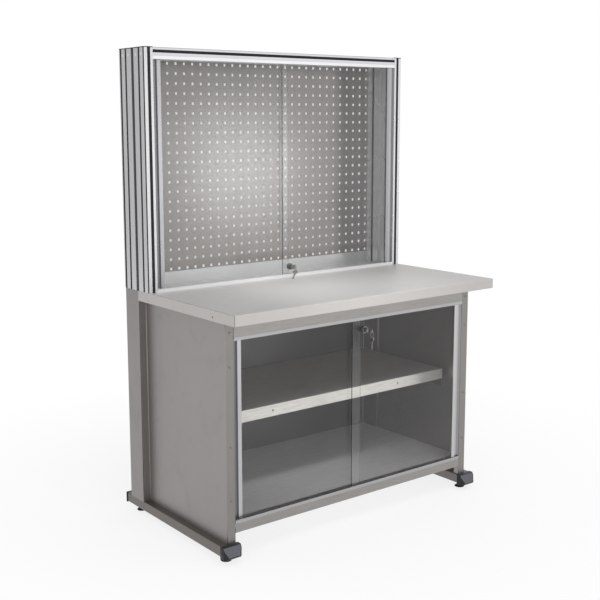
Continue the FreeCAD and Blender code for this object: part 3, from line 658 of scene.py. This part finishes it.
# Floor shelf: a flat stainless sheet on the bottom rails, cut out round the posts.
# It is brushed from side to side.
floor_steel = metal("floor_steel", (0.56, 0.55, 0.555), "short X", 0.48, streaks=0.35, shine=0.35)
dress(floor_steel, "floor_shelf")

# Shelf angles: two angles of stainless steel, fixed inside the side panels.
# The middle shelf lies on them.
# They take the same steel, painted dark as the shade inside the cupboard.
dress(inside_steel_painted_shade, "shelf_angles")
soften(0.0004, "shelf_angles")

# Middle shelf: a stainless sheet folded down in front and behind, with a brushed front edge painted bright as
# a highlight.
# The brushing runs along it and is coarser than on the rest of the bench.
up = (0.0, 0.0, 1.0)
shelf_top = (0.47, 0.46, 0.46)
# The front edge is painted far lighter than the top, as a painted reflection of the light in front.
shelf_edge_painted_highlight = (0.84, 0.81, 0.76)
shelf_side = (up, shelf_top)
shelf_steel = metal("shelf_steel", shelf_edge_painted_highlight, "short X", 0.36, 0.42, relief=0.06, side=shelf_side, shine=0.6)
dress(shelf_steel, "middle_shelf")
soften(0.0006, "middle_shelf")


# Panel screws: round-headed socket screws of zinc-plated steel, four in each leg and two in the
# shelf's edge. Each head is a low dome with a hexagonal socket.
def socket_head(shape, place, facing, radius, height, key_size, depth):
    """A domed screw head with a six-sided socket, and a short shank behind it."""
    sides = 24
    sixth = math.pi / 3
    before = set(shape.verts)
    shank = ((0.0, -0.0014), (0.5, -0.0014), (0.5, 0.0))
    crown = ((1.0, 0.0), (1.0, 0.3), (0.95, 0.62), (0.84, 0.88), (0.70, 1.0))
    outline = [(share * radius, z) for share, z in shank]
    outline += [(share * radius, part * height) for share, part in crown]
    turned(shape, outline, steps=sides)
    rim = [edge for edge in shape.edges if edge.is_boundary and edge.verts[0] not in before]
    top = Matrix.Translation((0, 0, height))
    mouth = bmesh.ops.create_circle(shape, segments=sides, radius=1.0, matrix=top)["verts"]
    for corner in mouth:
        bearing = math.atan2(corner.co.y, corner.co.x)
        fold = (bearing + sixth / 2) % sixth - sixth / 2
        reach = key_size / 2 / math.cos(fold)
        corner.co = (reach * math.cos(bearing), reach * math.sin(bearing), height)
    mouth_edges = list({edge for corner in mouth for edge in corner.link_edges})
    bmesh.ops.bridge_loops(shape, edges=rim + mouth_edges)
    walls = bmesh.ops.extrude_edge_only(shape, edges=mouth_edges)["geom"]
    floor_corners = [part for part in walls if isinstance(part, bmesh.types.BMVert)]
    floor_edges = [part for part in walls if isinstance(part, bmesh.types.BMEdge)]
    bmesh.ops.translate(shape, vec=(0.0, 0.0, -depth), verts=floor_corners)
    bmesh.ops.holes_fill(shape, edges=[edge for edge in floor_edges if edge.is_boundary])
    stood(shape, before, place, facing)


screw_zinc = metal("screw_zinc", (0.30, 0.29, 0.28), "Z", 0.30, clouds=0.2, cloud_size=80.0)
leg_head = (0.004, 0.002, 0.0025, 0.0013)
leg_low, leg_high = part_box("side_panel_right")
shelf_low, shelf_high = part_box("middle_shelf")
leg_screw_x = 0.585
leg_screw_shares = (0.194, 0.439, 0.797, 0.947)
shelf_screw_x = 0.3175
shape = bmesh.new()
for share in leg_screw_shares:
    height = leg_low.z + (leg_high.z - leg_low.z) * share
    socket_head(shape, (leg_screw_x, leg_low.y, height), to_front, *leg_head)
shelf_face = (shelf_screw_x, shelf_low.y, (shelf_low.z + shelf_high.z) / 2)
socket_head(shape, shelf_face, to_front, *leg_head)
copied(shape, mirror_x)
finished("panel_screw_heads", shape, screw_zinc, "bench", "zinc_steel", "panel_screws")

# Worktop skin: stainless sheet folded over a board, with mitred corners and a rounded upper rim.
# It is brushed along its length; its top is painted lighter than its folded edges as light from above, and a
# fine dark line is painted along each side of the top as a dark reflection on the rim.
# Painted light: the lighter top, and the dark line along the rims as a painted reflection.
top_painted_light = (0.61, 0.601, 0.59)
rim_dark_reflection = (0.6326, 0.0012, (0.16, 0.155, 0.15))
worktop_edge = (0.53, 0.51, 0.495)
worktop_lit_top = (up, top_painted_light)
worktop_steel = metal(
    "worktop_steel", worktop_edge, "X", 0.42, 0.07, cloud_size=2.5, band=rim_dark_reflection, side=worktop_lit_top, shine=0.5
)
dress(worktop_steel, "worktop_skin")

# Worktop core: a particle board inside the skin, its lower face is bare.
# The board is pressed from chips, so it shows flecks.
board = plastic("particle_board", (0.42, 0.31, 0.19), 0.8, texture=0.4)
dress(board, "worktop_core")

# Worktop screws: flush screws through the sides of the skin into the board.
# Only the flat head with its socket shows.
screws_low, screws_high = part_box("worktop_screws")
flush_height = 0.0012
flush_head = (0.0039, flush_height, 0.003, 0.001)
shape = bmesh.new()
flush_place = (
    screws_high.x - flush_height,
    (screws_low.y + screws_high.y) / 2,
    (screws_low.z + screws_high.z) / 2,
)
socket_head(shape, flush_place, (1.0, 0.0, 0.0), *flush_head)
copied(shape, mirror_x)
finished("worktop_edge_screws", shape, screw_zinc, "bench", "zinc_steel", "worktop_screws")

# Cupboard door tracks: natural anodised aluminium extrusions with two lanes each.
# The lower one lies on the bottom rail and the upper one hangs under the top rail.
drawn_grain = {"streaks": 0.05, "clouds": 0.06}
track_metal = metal("track_aluminium", (0.50, 0.495, 0.50), "X", 0.32, **drawn_grain)
dress(track_metal, "base_bottom_track", "base_top_track")
soften(0.0003, "base_bottom_track", "base_top_track")

# Cupboard door glass: clear float glass, four millimetres thick, with ground and polished edges.
# The panes hang in the two lanes and lap each other in the middle. The edges look darker and
# greener, faint wiping marks tint the faces, and lamp light passes through.
glass_face = (0.97, 0.975, 0.975)
glass_edge = (0.72, 0.80, 0.78)
glass_in_light = (0.93, 0.935, 0.935)
door_glass, tree, shader = new_finish("door_glass")
place = added(tree, "TexCoord").outputs
across = maths(tree, "ABSOLUTE", part_of(tree, place["Normal"], "Y"))
smear = noise(tree, place["Object"], 6.0, 5.0, distortion=0.8)
wiped = ranged(tree, smear, 0.35, 0.85, 1.0, 0.95)
values = {
    "Base Color": scaled(tree, mixed(tree, across, glass_edge, glass_face), wiped),
    "Roughness": 0.0,
    "IOR": 1.42,
    "Transmission Weight": 1.0,
}
feed(tree, shader, values)
ray = added(tree, "LightPath").outputs
lets_light = maths(tree, "MAXIMUM", ray["Is Shadow Ray"], ray["Is Diffuse Ray"])
clear = added(tree, "BsdfTransparent", {"Color": glass_in_light}).outputs["BSDF"]
blend = added(tree, "MixShader", {"Fac": lets_light, 1: shader.outputs["BSDF"], 2: clear}).outputs["Shader"]
feed(tree, tree.nodes["Material Output"], {"Surface": blend})
dress(door_glass, "base_left_door_glass", "base_right_door_glass")
soften(0.0004, "base_left_door_glass", "base_right_door_glass")

# Cupboard door pulls: aluminium profiles that grip the outer edge of each pane.
# A ridge holds the glass, and beside it runs a groove for the fingers.
def dress_pulls(pair, groove_painted_shade, ridge_painted_light_and_shade, light):
    """The left pull has its groove painted dark as shade; the right one has its ridge painted lighter on the
    base and darker on the cabinet, as the light falls from the left.
    """
    low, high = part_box(pair + "_right_door_pull")
    groove = (high.x - 0.0125, 0.0105, groove_painted_shade)
    ridge = (low.x + 0.007, 0.008, ridge_painted_light_and_shade)
    for side, band in (("_left", groove), ("_right", ridge)):
        pull_metal = metal(pair + side + "_pull_aluminium", light, "Z", 0.30, band=band, **drawn_grain)
        dress(pull_metal, pair + side + "_door_pull")
        soften(0.0004, pair + side + "_door_pull")


# The grooves and ridges of these pulls are painted with shade and light.
dress_pulls("base", (0.23, 0.23, 0.236), (0.64, 0.63, 0.62), (0.60, 0.60, 0.615))

# Cupboard door glides: small grey slide blocks under each pane.
# They run on the floor of the lane.
glide_plastic = plastic("glide_plastic", (0.30, 0.30, 0.31), 0.45)
dress(glide_plastic, "base_left_door_glides", "base_right_door_glides")


# Cupboard lock: a chrome-plated cylinder through the right-hand pane, held by a ring nut behind it.
# The collar lies on the glass, the barrel stands out in front and has a shallow ring round the plug.
behind_glass_front = 0.008


def lock(name, node, body):
    """The turned housing and the ring nut of a lock, where the node has them."""
    low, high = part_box(node)
    middle_x = (low.x + high.x) / 2
    middle_z = (low.z + high.z) / 2
    glass_front_y = high.y - behind_glass_front
    outline = (
        (0.0051, 0.0),
        (0.0051, 0.018),
        (0.0060, 0.018),
        (0.0064, 0.0174),
        (0.0074, 0.0174),
        (0.0078, 0.018),
        (0.0088, 0.018),
        (0.0095, 0.0173),
        (0.0095, 0.0056),
        (0.0100, 0.0050),
        (0.0130, 0.0050),
        (0.0137, 0.0047),
        (0.0140, 0.0040),
        (0.0140, 0.0),
        (0.0085, 0.0),
        (0.0085, -0.008),
        (0.0051, -0.008),
        (0.0051, 0.0),
    )
    nut = (
        (0.0086, -0.004),
        (0.0114, -0.004),
        (0.0120, -0.0046),
        (0.0120, -0.0075),
        (0.0115, -0.008),
        (0.0086, -0.008),
        (0.0086, -0.004),
    )
    shape = bmesh.new()
    for part in (outline, nut):
        turned(shape, part, (middle_x, glass_front_y, middle_z), to_front, steps=64)
    finished(name, shape, lock_chrome, body, "chrome_fittings", node)


lock_chrome = metal("lock_chrome", (0.24, 0.24, 0.245), "Y", 0.14, streaks=0.04, clouds=0.04, relief=0.01)
lock("base_lock_cylinder", "base_lock", "base_right_door")


# Cupboard key: a nickel-plated key in the plug of the lock, with a round bow and a hole in it.
# The plug turns with it, the cuts of the blade are inside.
bow_radius = 0.011
eye_radius = 0.003
eye_offset = 0.007
key_thickness = 0.002
half_blade = 0.004
key_cuts = (0.0, 0.0, 0.0, 0.0012, 0.0005, 0.0018, 0.0010, 0.0022, 0.0008, 0.0016, 0.0006, 0.0026)
plug_clearance = 0.004
blade_in_plug = 0.014


def key_blank(shape, reach, matrix):
    """A flat key: its bow at the middle, its blade towards X with cuts along one edge."""
    before = set(shape.verts)
    rim = bmesh.ops.create_circle(shape, segments=48, radius=bow_radius)["verts"]
    off_centre = Matrix.Translation((-eye_offset, 0.0, 0.0))
    eye = bmesh.ops.create_circle(shape, segments=48, radius=eye_radius, matrix=off_centre)["verts"]
    rings = list({edge for corner in rim + eye for edge in corner.link_edges})
    bmesh.ops.bridge_loops(shape, edges=rings)
    start = bow_radius - 0.0015
    stretched = Matrix.Diagonal((reach - start, 2 * half_blade, 1.0, 1.0))
    placed = Matrix.Translation(((start + reach) / 2, 0.0, 0.0)) @ stretched
    steps = len(key_cuts) - 1
    blade = bmesh.ops.create_grid(shape, x_segments=steps, y_segments=1, size=0.5, matrix=placed)["verts"]
    lower = sorted((corner for corner in blade if corner.co.y < 0.0), key=lambda corner: corner.co.x)
    for corner, depth in zip(lower, key_cuts):
        corner.co.y += depth
    flat = [face for face in shape.faces if face.verts[0] not in before]
    raised = bmesh.ops.extrude_face_region(shape, geom=flat)["geom"]
    top = [part for part in raised if isinstance(part, bmesh.types.BMVert)]
    bmesh.ops.translate(shape, vec=(0.0, 0.0, key_thickness), verts=top)
    made = [corner for corner in shape.verts if corner not in before]
    bmesh.ops.translate(shape, vec=(0.0, 0.0, -key_thickness / 2), verts=made)
    mine = set(made)
    limit = math.radians(40)
    closed = [edge for edge in shape.edges if edge.verts[0] in mine and edge.is_manifold]
    sharp = [edge for edge in closed if edge.calc_face_angle() > limit]
    bmesh.ops.bevel(shape, geom=sharp, offset=0.00025, segments=2, affect="EDGES", profile=0.5, material=-1)
    made = [corner for corner in shape.verts if corner not in before]
    bmesh.ops.transform(shape, matrix=matrix, verts=made)


def key_in_lock(name, node, body):
    """The plug and the key that stays in the lock."""
    low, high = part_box(node)
    bow_y = low.y + bow_radius
    middle_x = (low.x + high.x) / 2
    middle_z = (low.z + high.z) / 2
    plug_y = bow_y + bow_radius + plug_clearance
    plug = ((0.0, 0.0), (0.0046, 0.0), (0.005, -0.0004), (0.005, -0.019), (0.0, -0.019))
    shape = bmesh.new()
    turned(shape, plug, (middle_x, plug_y, middle_z), to_front)
    forward = Matrix(((0.0, 0.0, 1.0), (1.0, 0.0, 0.0), (0.0, 1.0, 0.0))).to_4x4()
    placed = Matrix.Translation((middle_x, bow_y, middle_z)) @ forward
    key_blank(shape, plug_y + blade_in_plug - bow_y, placed)
    finished(name, shape, key_nickel, body, "chrome_fittings", node)


key_nickel = metal("key_nickel", (0.50, 0.49, 0.47), "Z", 0.24, streaks=0.08, clouds=0.1, cloud_size=90.0)
key_in_lock("base_lock_plug_and_key", "base_key", "base_key")


# Cupboard spare key: hangs from the bow of the key in the lock on a split ring of two coils.
# It hangs straight down in front of the glass.
ring_radius = 0.009
ring_wire = 0.0004
ring_to_eye = 0.0021
spare_reach = 0.041
hook_depth = 0.004


def split_ring(shape, matrix):
    """Two coils of spring wire side by side, round the Y axis."""
    before = set(shape.verts)
    steps = 48
    beside = Matrix.Translation((ring_radius, -ring_wire, 0.0))
    bmesh.ops.create_circle(shape, segments=10, radius=ring_wire, matrix=beside)
    section = [corner for corner in shape.verts if corner not in before]
    edges = list({edge for corner in section for edge in corner.link_edges})
    bmesh.ops.spin(
        shape,
        geom=section + edges,
        cent=(0.0, 0.0, 0.0),
        axis=(0.0, 1.0, 0.0),
        dvec=(0.0, 2 * ring_wire / steps, 0.0),
        angle=4 * math.pi,
        steps=2 * steps,
    )
    made = {corner for corner in shape.verts if corner not in before}
    ends = [edge for edge in shape.edges if edge.is_boundary and edge.verts[0] in made]
    bmesh.ops.holes_fill(shape, edges=ends)
    centred = Matrix.Translation((0.0, -ring_wire, 0.0))
    bmesh.ops.transform(shape, matrix=matrix @ centred, verts=list(made))


def spare_key(name, key_node, node, body, drop, ring_turn, lean, swing):
    """The ring and the spare key, hung from the hole of the key in the lock."""
    low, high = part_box(key_node)
    hook = Vector(((low.x + high.x) / 2, low.y + hook_depth, (low.z + high.z) / 2 - drop))
    middle = hook + Vector((ring_radius * math.sin(ring_turn), 0.0, -ring_radius * math.cos(ring_turn)))
    turned_round = Matrix.Translation(hook) @ Matrix.Rotation(swing, 4, "Z") @ Matrix.Translation(-hook)
    leant = Matrix.Translation(middle) @ Matrix.Rotation(lean, 4, "Y")
    hanging = Matrix(((0.0, 0.0, 1.0), (0.0, 1.0, 0.0), (-1.0, 0.0, 0.0))).to_4x4()
    bow_drop = ring_radius + ring_to_eye + eye_offset
    shape = bmesh.new()
    split_ring(shape, turned_round @ Matrix.Translation(middle))
    below = Matrix.Translation((0.0, 0.0, -bow_drop))
    key_blank(shape, spare_reach, turned_round @ leant @ below @ hanging)
    finished(name, shape, key_nickel, body, "chrome_fittings", node)


base_drop = 0.0019
spare_key("base_ring_and_spare_key", "base_key", "base_spare_key", "base_spare_key", base_drop, 0.0, 0.0, 0.0)


# Front uprights: anodised aluminium extrusions with grooves, beside the cabinet's doors.
# They stand on the worktop over the rear posts. Just under their tops, each rib of the outer side
# has the polished end of a pin that is pressed in flush.
def overlaid(tree, mask, tint):
    """Give part of a finished surface another tint."""
    shader = tree.nodes["Principled BSDF"]
    plain = shader.inputs["Base Color"].links[0].from_socket
    feed(tree, shader, {"Base Color": mixed(tree, mask, plain, tint)})


upright_tint = (0.66, 0.66, 0.675)
upright_metal = metal("upright_aluminium", upright_tint, "Z", 0.28, smudges=0.01, shine=0.65, **drawn_grain)
pin_radius = 0.0045
pin_drop = 0.023
pin_rows = (0.185, 0.225, 0.280, 0.320)
skin_depth = 0.0005
upright_low, upright_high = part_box("front_upright_left")
tree = upright_metal.node_tree
place = added(tree, "TexCoord").outputs["Object"]
sideways = maths(tree, "ABSOLUTE", part_of(tree, place, "X"))
outside = maths(tree, "GREATER_THAN", sideways, -upright_low.x - skin_depth)
flattened = added(tree, "VectorMath", {0: place, 1: (0.0, 1.0, 1.0)}, operation="MULTIPLY").outputs["Vector"]
nearest = 1.0
for pin_y in pin_rows:
    reach = measured(tree, "DISTANCE", flattened, (0.0, pin_y, upright_high.z - pin_drop))
    nearest = maths(tree, "MINIMUM", reach, nearest)
near = maths(tree, "LESS_THAN", nearest, pin_radius)
overlaid(tree, maths(tree, "MULTIPLY", near, outside), (0.95, 0.95, 0.96))
dress(upright_metal, "front_upright_left", "front_upright_right")
soften(0.0004, "front_upright_left", "front_upright_right")

# Rear uprights: the same extrusion, deeper, behind the dark infill.
# The pegboard is held between them.
dress(upright_metal, "rear_upright_left", "rear_upright_right")
soften(0.0004, "rear_upright_left", "rear_upright_right")

# Side infills: bars between the front and the rear uprights, painted near black outside as the shade in the
# recess, with a light grey inner face.
# They close the side of the cabinet and lie a little deeper than the profiles.
infill_plastic_painted_shade = plastic("infill_plastic_painted_shade", (0.028, 0.028, 0.031), 0.5)
tree = infill_plastic_painted_shade.node_tree
place = added(tree, "TexCoord").outputs
sideways = part_of(tree, place["Object"], "X")
outward = maths(tree, "MULTIPLY", sideways, part_of(tree, place["Normal"], "X"))
overlaid(tree, maths(tree, "LESS_THAN", outward, -0.3), (0.48, 0.475, 0.47))
dress(infill_plastic_painted_shade, "side_infills")

# Slot cover strips: black strips pressed into the grooves of the profiles.
# They lie just below the faces of the profile.
# The strips are black to darken the grooves: a painted shade. The upright caps below are black plastic of the
# same material.
slot_shade_and_cap_black = plastic("slot_shade_and_cap_black", (0.007, 0.007, 0.008), 0.75)
dress(slot_shade_and_cap_black, "slot_cover_strips")

# Pegboard rails: aluminium channels between the rear uprights, with a groove for the board.
# The lower one stands on the worktop, the upper one lies under the roof.
rail_metal = metal("rail_aluminium", (0.80, 0.80, 0.81), "X", 0.34, smudges=0.01, shine=0.75, **drawn_grain)
dress(rail_metal, "pegboard_bottom_rail", "pegboard_top_rail")
soften(0.0004, "pegboard_bottom_rail", "pegboard_top_rail")

# Pegboard: stainless sheet punched with square holes, with nothing behind it.
# It is brushed upright and shows soft clouds where it was handled.
peg_tint = (0.255, 0.237, 0.226)
peg_steel = metal(
    "pegboard_steel", peg_tint, "Z", 0.23, 0.06, 0.24, cloud_size=2.2, relief=0.0, smudges=0.01, shine=0.35
)
dress(peg_steel, "pegboard")

# Cabinet top rail: an aluminium extrusion with a groove, above the doors.
# It is screwed between the front uprights.
top_rail_metal = metal("top_rail_aluminium", (0.64, 0.64, 0.66), "X", 0.32, smudges=0.01, **drawn_grain)
dress(top_rail_metal, "cabinet_top_rail")
soften(0.0004, "cabinet_top_rail")

# Roof panel: a flat stainless sheet that closes the cabinet from above.
# It is brushed along its length.
dress(rail_steel, "roof_panel")

# Upright caps: thin black plastic plates on the tops of the profiles.
# They are pressed into the grooves.
dress(slot_shade_and_cap_black, "upright_caps")

# Cabinet door tracks: the same two-lane extrusions as below.
# The lower one lies on the worktop, the upper one under the top rail.
dress(rail_metal, "cabinet_bottom_track", "cabinet_top_track")
soften(0.0003, "cabinet_bottom_track", "cabinet_top_track")

# Cabinet door glass: the same clear panes as below.
# They lap each other in the middle.
dress(door_glass, "cabinet_left_door_glass", "cabinet_right_door_glass")
soften(0.0004, "cabinet_left_door_glass", "cabinet_right_door_glass")

# Cabinet door pulls: the same profiles as below.
# A ridge holds the glass, and beside it runs a groove for the fingers.
# The grooves are painted dark as shade, and the right ridge is painted shaded.
dress_pulls("cabinet", (0.23, 0.23, 0.243), (0.36, 0.365, 0.38), (0.47, 0.47, 0.485))

# Cabinet door glides: small grey slide blocks under each pane.
# They run on the floor of the lane.
dress(glide_plastic, "cabinet_left_door_glides", "cabinet_right_door_glides")

# Cabinet lock: the same chrome-plated cylinder, low in the right-hand pane.
# It is held by a ring nut behind the glass.
lock("cabinet_lock_cylinder", "cabinet_lock", "cabinet_right_door")

# Cabinet key: the same key in the plug of the upper lock.
# The plug turns with it.
key_in_lock("cabinet_lock_plug_and_key", "cabinet_key", "cabinet_key")

# Cabinet spare key: hangs on its ring from the key in the upper lock.
# It is longer than the drop to the worktop, so it leans aside with its tip just clear of the top.
lean_drop = 0.032506
lean_reach = 0.0591
ring_turn = math.radians(30)
ring_swing = math.radians(39)
lean = math.acos(lean_drop / lean_reach)
spare = "cabinet_spare_key"
spare_key("cabinet_ring_and_spare_key", "cabinet_key", spare, spare, 0.0, ring_turn, lean, ring_swing)
